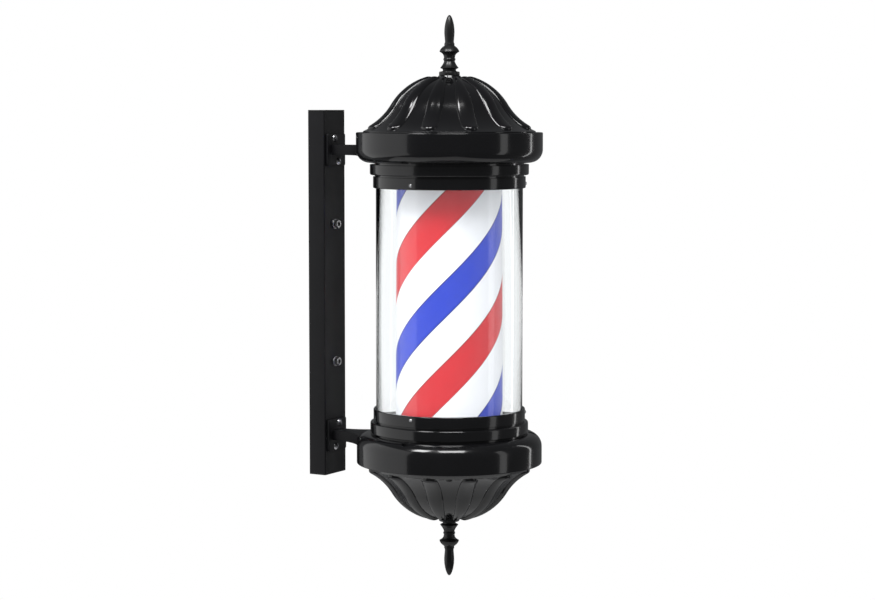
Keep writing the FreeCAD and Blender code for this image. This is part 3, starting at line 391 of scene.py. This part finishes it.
# ------------------------------------------------------------------------------------------- housings
def drum(half):
    """Drum with a rounded shoulder, an eased rim and three screw notches."""
    name = half + "_drum"
    shoulder = arc((DRUM_RADIUS - SHOULDER, DRUM_LOW + SHOULDER), SHOULDER, -90, 0, 18)
    profile = [Vector((84.0, DRUM_LOW))] + shoulder
    profile += rounded([(DRUM_RADIUS, DRUM_HIGH - 6), (DRUM_RADIUS, DRUM_HIGH, 1.4), (104.0, DRUM_HIGH)],
                       False)
    profile += [Vector((104.0, DRUM_HIGH - 4)), Vector((84.0, DRUM_HIGH - 4))]
    notches = []
    for angle in SCREW_ANGLES:
        low = DRUM_LOW - 4
        outline = [(0, low), (NOTCH_RADIUS, low), (NOTCH_RADIUS, NOTCH_TOP), (0, NOTCH_TOP)]
        notch = turned("notch", outline, 48, False)
        turn = math.radians(angle)
        x, y = SCREW_CIRCLE * math.cos(turn) * MM, SCREW_CIRCLE * math.sin(turn) * MM
        notch.transform(Matrix.Translation((x, y, 0)))
        notches.append(notch)
    mesh = applied(turned(name + "_look", profile, 240), notches, 0.5, 38.0)
    show(mesh, "gloss_black", [name], half=half, sharp=30.0)


def collar(half):
    """Middle ring of the stack with its narrow spigots."""
    name = half + "_collar"
    profile = rounded([
        (85.0, RING_HIGH), (SPIGOT_RADIUS, RING_HIGH), (SPIGOT_RADIUS, COLLAR_LOW),
        (COLLAR_RADIUS, COLLAR_LOW, 2.6), (COLLAR_RADIUS, COLLAR_HIGH, 0.9), (SPIGOT_RADIUS, COLLAR_HIGH),
        (SPIGOT_RADIUS, DRUM_LOW), (85.0, DRUM_LOW),
    ])
    show(turned(name + "_look", profile), "gloss_black", [name], half=half)


def glass_ring(half):
    """Ring that holds the glass, with the floor round the turning cylinder."""
    name = half + "_glass_ring"
    bore = GLASS_RADIUS + 0.2
    groove = GLASS_RADIUS - GLASS_WALL - 0.2
    seat = GLASS_END + 1.0
    floor_level = RING_LOW + 3.0
    profile = rounded([
        (bore, RING_LOW, 0.4), (RING_RADIUS, RING_LOW, 2.4), (RING_RADIUS, RING_HIGH, 0.7),
        (72.0, RING_HIGH), (72.0, floor_level), (groove, floor_level, 0.4), (groove, seat), (bore, seat),
    ])
    piece = show(turned(name + "_look", profile), "gloss_black", [name], half=half)
    piece.data.materials.append(RING_FLOOR)
    for face in piece.data.polygons:
        radius = (face.center - AXIS).xy.length / MM
        level = abs(face.center.z) / MM
        flat = abs(face.normal.z) > 0.9
        if flat and 72.0 < radius < groove and abs(level - floor_level) < 0.2:
            face.material_index = 1


def dome_profile(sink):
    """(point, outward normal, distance past the petals' toe) along the ogee, from the rim to the boss.

    sink lowers the channels between the petals under the finial's seat.
    """
    crown_z = DOME_HEIGHT - sink - math.sqrt(CROWN_R ** 2 - (DOME_BOSS - CROWN_X) ** 2)
    rise = math.sqrt((CROWN_R + HOLLOW_R) ** 2 - (HOLLOW_X - CROWN_X) ** 2)
    hollow = Vector((HOLLOW_X, crown_z + rise))
    crown = Vector((CROWN_X, crown_z))
    waist = math.degrees(math.atan2(rise, HOLLOW_X - CROWN_X))

    def hollow_angle(radius):
        """Direction, from the hollow's centre, of its point at a radius."""
        return 180.0 + math.degrees(math.acos((HOLLOW_X - radius) / HOLLOW_R))

    toe = hollow_angle(PETAL_TOE)
    rows = []
    steps = [0.0, 0.25, 0.6, 1.0, 1.6, 2.4, 3.4, 4.6, 6.0, 7.6, 9.4, 11.2]
    length = math.radians(toe - (180.0 + waist)) * HOLLOW_R
    while steps[-1] + 2.5 < length:
        steps.append(steps[-1] + 2.5)
    rim = hollow_angle(DOME_RADIUS - 3.0)
    for share in (0.0, 0.35, 0.7, 0.93):
        angle = math.radians(rim + (toe - rim) * share)
        way = Vector((math.cos(angle), math.sin(angle)))
        rows.append((hollow + way * HOLLOW_R, -way, -1.0))
    for step in steps:
        angle = math.radians(toe) - step / HOLLOW_R
        way = Vector((math.cos(angle), math.sin(angle)))
        rows.append((hollow + way * HOLLOW_R, -way, step))
    top = math.degrees(math.acos((DOME_BOSS - CROWN_X) / CROWN_R))
    count = 32
    for step in range(count + 1):
        angle = math.radians(waist + (top - waist) * step / count)
        way = Vector((math.cos(angle), math.sin(angle)))
        rows.append((crown + way * CROWN_R, way, length + CROWN_R * (angle - math.radians(waist))))
    return rows


def petal_lift(across, along, radius):
    """Height of a petal at a share across its half width and a distance from its toe."""
    if along < 0 or abs(across) >= 1:
        return 0.0
    toe = math.sqrt(1 - (1 - min(along / 5.0, 1.0)) ** 2)
    boss = min(max((radius - DOME_BOSS) / 14.0, 0.0), 1.0)
    boss = boss * boss * (3 - 2 * boss)
    return PETAL_RISE * (1 - abs(across) ** 2.5) ** 0.7 * toe * boss


def dome(half):
    """Fluted cap: twelve raised petals with round toes on an ogee."""
    name = half + "_dome"
    across = [math.sin(math.pi / 2 * k / 8) for k in range(-8, 9)]
    gaps = [k / 7 for k in range(1, 7)]
    rows = []

    def ring(point, normal, along):
        """One ring of the grid, its columns set along the petals' edges."""
        half_width = PETAL_HALF_WIDTH
        if 0 <= along < PETAL_HALF_WIDTH:
            half_width = math.sqrt(PETAL_HALF_WIDTH ** 2 - (PETAL_HALF_WIDTH - along) ** 2)
        elif along < 0:
            half_width = 0.0
        half_width = max(half_width, 1.6)
        half_angle = min(math.radians(PETAL_HALF_ANGLE), half_width / point.x)
        sector = 2 * math.pi / PETALS
        row = []
        for petal in range(PETALS):
            middle = (petal + 0.5) * sector
            for share in across:
                place = point + normal * petal_lift(share, along, point.x)
                angle = middle + share * half_angle
                row.append((place.x * math.cos(angle), place.x * math.sin(angle), place.y + DRUM_HIGH))
            for share in gaps:
                angle = middle + half_angle + share * (sector - 2 * half_angle)
                row.append((point.x * math.cos(angle), point.x * math.sin(angle), point.y + DRUM_HIGH))
        return row

    rim = rounded([(101.0, 0.0), (DOME_RADIUS, 0.0, 0.5), (DOME_RADIUS, DOME_RIM, 0.8),
                   (DOME_RADIUS - 3.0, 3.0)], False)[:-1]
    for point in rim:
        rows.append(ring(point, Vector((0, 1)), -1.0))
    sink = DOME_SINK[half]
    for point, normal, along in dome_profile(sink):
        rows.append(ring(point, normal, along))
    rows.append(ring(Vector((DOME_BOSS - 1.2, DOME_HEIGHT - 0.4)), Vector((0, 1)), -1.0))
    for radius, level in ((12.0, DOME_HEIGHT), (12.0, DOME_HEIGHT - 4), (60.0, 38.0), (98.0, 4.0)):
        rows.append(ring(Vector((radius, level)), Vector((0, 1)), -1.0))
    show(grid_mesh(name + "_look", rows, True), "gloss_black", [name], half=half, sharp=42.0)


def smooth_line(points, steps=6):
    """A smooth curve through the points."""
    result = []
    for index in range(len(points) - 1):
        first = Vector(points[max(index - 1, 0)])
        start = Vector(points[index])
        end = Vector(points[index + 1])
        last = Vector(points[min(index + 2, len(points) - 1)])
        for step in range(steps):
            t = step / steps
            bend = 2 * first - 5 * start + 4 * end - last
            twist = 3 * start - first - 3 * end + last
            result.append(0.5 * (2 * start + (end - first) * t + bend * t ** 2 + twist * t ** 3))
    result.append(Vector(points[-1]))
    return result


def finial(half):
    """Turned finial: base ring, flared foot, ring, knob with a sharp edge and a slim spire."""
    name = half + "_finial"
    outline = [Vector((5.2, 0.0))]
    outline += rounded([(10.0, 0.0), (13.0, 0.0, 0.4), (13.0, 4.5, 1.2), (9.0, 5.2)], False)
    outline += smooth_line([(8.2, 6.2), (8.6, 7.6), (11.3, 9.0)])
    outline += smooth_line([(11.5, 9.6), (9.6, 12.0), (8.0, 14.6), (6.9, 17.2)])
    outline += smooth_line([(6.8, 18.2), (7.6, 19.4), (7.6, 20.6), (6.9, 21.8)])
    outline += smooth_line([(7.0, 22.6), (7.5, 25.0), (9.1, 27.4), (12.2, 29.4)])
    outline += smooth_line([(12.5, 29.9), (11.5, 32.2), (9.6, 34.6), (7.0, 36.8)])
    outline += rounded([(6.4, 37.0), (6.4, 40.0, 0.5), (5.8, 40.4)], False)
    outline += smooth_line([(5.6, 42.5), (5.9, 46.0), (6.3, 51.0), (6.4, 55.0), (6.1, 60.0), (5.3, 65.0),
                            (4.1, 69.5), (2.7, 73.0), (1.2, 75.0), (0.0, 75.5)])
    profile = [(point.x, point.y + DRUM_HIGH + DOME_HEIGHT) for point in outline]
    profile.append((0.0, DRUM_HIGH + DOME_HEIGHT + 1.0))
    show(turned(name + "_look", profile, 72), "finial_black", [name], half=half)


# ------------------------------------------------------------------------------- glass and cylinder
def glass():
    """Clear tube with polished, eased ends."""
    inside = GLASS_RADIUS - GLASS_WALL
    profile = rounded([
        (inside, -GLASS_END, 0.5), (GLASS_RADIUS, -GLASS_END, 0.5),
        (GLASS_RADIUS, GLASS_END, 0.5), (inside, GLASS_END, 0.5),
    ], steps=3)
    piece = show(turned("outer_glass_look", profile, 256), "clear_tube", ["outer_glass"], half="upper")
    piece.visible_shadow = False


def striped_cylinder():
    """Cylinder whose U coordinate follows the helix of the stripes."""
    inside = FILM_RADIUS - 1.0
    levels = [-FILM_HALF + 2 * FILM_HALF * k / 16 for k in range(17)]
    profile = [(FILM_RADIUS, level) for level in levels] + [(inside, level) for level in reversed(levels)]
    mesh = turned("striped_cylinder_look", profile, 256)
    layer = mesh.uv_layers.new(name="stripes")
    for face in mesh.polygons:
        middle = math.atan2(face.center.y, face.center.x)
        for loop in face.loop_indices:
            point = mesh.vertices[mesh.loops[loop].vertex_index].co
            turn = math.atan2(point.y, point.x)
            if turn - middle > math.pi:
                turn -= 2 * math.pi
            elif middle - turn > math.pi:
                turn += 2 * math.pi
            rise = (math.degrees(turn) - STRIPE_ANGLE) / 360.0 * STRIPE_LEAD
            phase = (point.z / MM - STRIPE_START - rise) / STRIPE_PERIOD
            layer.data[loop].uv = (phase, point.z / MM / STRIPE_PERIOD)
    show(mesh, "striped_film", ["striped_cylinder"], body="cylinder", half="upper")


# ------------------------------------------------------------------------------------------- bar and arms
def bar_outline():
    """Cross-section of the bar, its back on the wall."""
    half_width = BAR_WIDTH / 2
    return rounded([(-half_width, 0, 1.6), (half_width, 0, 1.6), (half_width, -BAR_DEPTH, 1.6),
                    (-half_width, -BAR_DEPTH, 1.6)])


def on_bar_face(level):
    """Stands a piece made upright about Z on the bar's face, at a level in millimetres."""
    return Matrix.Translation((0, -BAR_DEPTH * MM, level * MM)) @ Matrix.Rotation(math.pi / 2, 4, "X")


def bar():
    """Rectangular tube with rounded edges; its bolt and screw holes are left out of this mesh."""
    half_width = BAR_WIDTH / 2
    outer = bar_outline()
    inner = [(x * (half_width - BAR_WALL) / half_width,
              (y + BAR_DEPTH / 2) * (BAR_DEPTH - 2 * BAR_WALL) / BAR_DEPTH - BAR_DEPTH / 2) for x, y in outer]
    end = BAR_LENGTH / 2 - BAR_CAP
    rows = [[(x, y, level) for x, y in ring] for ring, level in
            ((outer, -end), (outer, end), (inner, end), (inner, -end))]
    show(grid_mesh("wall_bar_look", rows, True), "satin_black", ["wall_bar"])


def bar_cap(name, way):
    """End plug of the bar with a softly rounded plate."""
    low, high = sorted((way * (BAR_LENGTH / 2 - BAR_CAP), way * BAR_LENGTH / 2))
    mesh = applied(extruded(name + "_look", bar_outline(), low, high), bevel=0.5, angle=50.0)
    show(mesh, "cap_plastic", [name])


def arm(name, way):
    """Cast arm: a flange with rounded corners, a neck and wings that close on the drum."""
    flange_y = -BAR_DEPTH - FLANGE_THICK
    neck_end = flange_y - 3.0
    wing_y = AXIS.y / MM + math.sqrt(DRUM_RADIUS ** 2 - WING_HALF ** 2)
    spread = WING_HALF - NECK_HALF
    run = neck_end - wing_y
    flare = (spread ** 2 + run ** 2) / (2 * spread)
    sweep = math.degrees(math.asin(run / flare))
    side = arc((NECK_HALF + flare, neck_end), flare, 180, 180 + sweep, 16)
    edge = math.degrees(math.asin(WING_HALF / DRUM_RADIUS))
    hug = arc((0, AXIS.y / MM), DRUM_RADIUS - 0.3, 90 - edge, 90 + edge, 24)
    right = [Vector((NECK_HALF, -BAR_DEPTH - 1)), Vector((NECK_HALF, neck_end))] + side[1:]
    left = [Vector((-point.x, point.y)) for point in reversed(right)]
    low, high = sorted((way * ARM_LOW, way * (ARM_LOW + ARM_THICK)))
    plan = extruded(name + "_look", right + hug[1:-1] + left, low, high)
    web = applied(plan, bevel=1.3, angle=50.0)
    centre = way * (ARM_LOW + ARM_THICK / 2)
    reach = FLANGE_SIDE / 2
    square = [(-reach, -reach, 3.0), (reach, -reach, 3.0), (reach, reach, 3.0), (-reach, reach, 3.0)]
    plate = extruded("flange", rounded(square), 0, FLANGE_THICK)
    plate.transform(on_bar_face(centre))
    plate = applied(plate, bevel=0.8, angle=50.0)
    show(joined(name + "_look", [web, plate]), "satin_black", [name])


def bolt_hardware():
    """Washers with eased edges and chamfered nuts with open bores."""
    stand = [on_bar_face(level) for level in (BOLT_LEVEL, -BOLT_LEVEL)]
    washers = []
    nuts = []
    for place in stand:
        washer = turned("washer", rounded([(3.3, 0), (6.5, 0, 0.2), (6.5, 1.5, 0.5), (3.3, 1.5, 0.3)]), 64)
        washer.transform(place)
        washers.append(washer)
        count = 120
        rows = []
        for limit, level, bore in ((5.3, 1.5, 0), (9.9, 2.3, 0), (9.9, 5.7, 0), (5.0, 6.5, 0), (0, 6.5, 1),
                                   (0, 1.5, 1)):
            row = []
            for k in range(count):
                angle = 2 * math.pi * k / count
                turn = (angle + math.pi / 6) % (math.pi / 3) - math.pi / 6
                radius = 3.0 if bore else min(5.0 / math.cos(turn), limit)
                row.append((radius * math.cos(angle), radius * math.sin(angle), level))
            rows.append(row)
        nut = grid_mesh("nut", rows, True)
        nut.transform(place)
        nuts.append(nut)
    show(joined("washers_look", washers), "zinc_steel", ["wall_bolt_washers"])
    show(joined("nuts_look", nuts), "zinc_steel", ["wall_bolt_nuts"], sharp=20.0)


for side, way in (("upper", 1), ("lower", -1)):
    drum(side)
    collar(side)
    glass_ring(side)
    dome(side)
    finial(side)
    arm(side + "_arm", way)
glass()
striped_cylinder()
bar()
bar_cap("bar_top_cap", 1)
bar_cap("bar_bottom_cap", -1)
bolt_hardware()


# ------------------------------------------------------------------------------------------- studio
VIEW_AZIMUTH = math.radians(-60.0)
BACK = Vector((math.sin(VIEW_AZIMUTH), -math.cos(VIEW_AZIMUTH), 0.0))
RIGHT = Vector((math.cos(VIEW_AZIMUTH), math.sin(VIEW_AZIMUTH), 0.0))


def camera():
    """Camera level with the top of the wall bar, looking a little down at the pole."""
    distance = 2.857
    side = -0.015
    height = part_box("bar_top_cap")[1].z + 0.003
    pitch = math.radians(4.87)
    data = bpy.data.cameras.new("camera")
    data.lens = 92.9
    rig = bpy.data.objects.new("camera", data)
    bpy.context.scene.collection.objects.link(rig)
    place = Vector((AXIS.x, AXIS.y, 0.0)) + BACK * distance + RIGHT * side + Vector((0, 0, height))
    look = (-BACK * math.cos(pitch)) + Vector((0, 0, -math.sin(pitch)))
    rig.rotation_euler = look.to_track_quat("-Z", "Y").to_euler()
    rig.location = place
    bpy.context.scene.camera = rig


def area_light(name, azimuth, height, distance, size, power, aim_height=0.0):
    """A soft box at an angle round the pole, measured from the camera's side."""
    data = bpy.data.lights.new(name, "AREA")
    data.shape = "RECTANGLE"
    data.size = size[0]
    data.size_y = size[1]
    data.energy = power
    lamp = bpy.data.objects.new(name, data)
    bpy.context.scene.collection.objects.link(lamp)
    turn = math.radians(azimuth)
    way = BACK * math.cos(turn) + RIGHT * math.sin(turn)
    lamp.location = Vector((AXIS.x, AXIS.y, 0.0)) + way * distance + Vector((0, 0, height))
    aim = Vector((AXIS.x, AXIS.y, aim_height)) - lamp.location
    lamp.rotation_euler = aim.to_track_quat("-Z", "Y").to_euler()
    return lamp


def studio():
    """White surroundings, a pale floor well below the pole, and soft boxes, the brightest of them set high
    so that they light the film without showing in the upright black walls."""
    bpy.context.scene.view_settings.view_transform = "Standard"
    world = bpy.data.worlds.new("studio")
    bpy.context.scene.world = world
    world.use_nodes = True
    tree = world.node_tree
    surround = tree.nodes["Background"]
    surround.inputs["Color"].default_value = (0.95, 0.97, 1.0, 1.0)
    surround.inputs["Strength"].default_value = 0.1
    backdrop = tree.nodes.new("ShaderNodeBackground")
    backdrop.inputs["Color"].default_value = (1.0, 1.0, 1.0, 1.0)
    backdrop.inputs["Strength"].default_value = 1.0
    rays = tree.nodes.new("ShaderNodeLightPath")
    seen = tree.nodes.new("ShaderNodeMath")
    seen.operation = "MAXIMUM"
    mix = tree.nodes.new("ShaderNodeMixShader")
    tree.links.new(rays.outputs["Is Camera Ray"], seen.inputs[0])
    tree.links.new(rays.outputs["Is Transmission Ray"], seen.inputs[1])
    tree.links.new(seen.outputs["Value"], mix.inputs["Fac"])
    tree.links.new(surround.outputs["Background"], mix.inputs[1])
    tree.links.new(backdrop.outputs["Background"], mix.inputs[2])
    tree.links.new(mix.outputs["Shader"], tree.nodes["World Output"].inputs["Surface"])
    mesh = bpy.data.meshes.new("floor")
    half = 1.1
    level = cad_box[0][2] - 0.9
    mesh.from_pydata([(-half, -half, level), (half, -half, level), (half, half, level), (-half, half, level)],
                     [], [(0, 1, 2, 3)])
    floor = bpy.data.objects.new("floor", mesh)
    bpy.context.scene.collection.objects.link(floor)
    floor.data.materials.append(plastic("pale_floor", (0.86, 0.86, 0.86), 0.7))
    area_light("side_left", -92.0, 0.1, 1.6, (2.7, 2.4), 11.0)
    area_light("high_front", 4.0, 2.1, 1.5, (1.2, 0.8), 30.0)
    area_light("high_left", -48.0, 1.9, 1.5, (0.7, 0.7), 20.0)
    area_light("soft_right", 68.0, 0.1, 1.9, (0.35, 1.8), 1.6)
    area_light("strip_right", 116.0, 0.1, 1.6, (0.1, 1.8), 1.5)


camera()
studio()
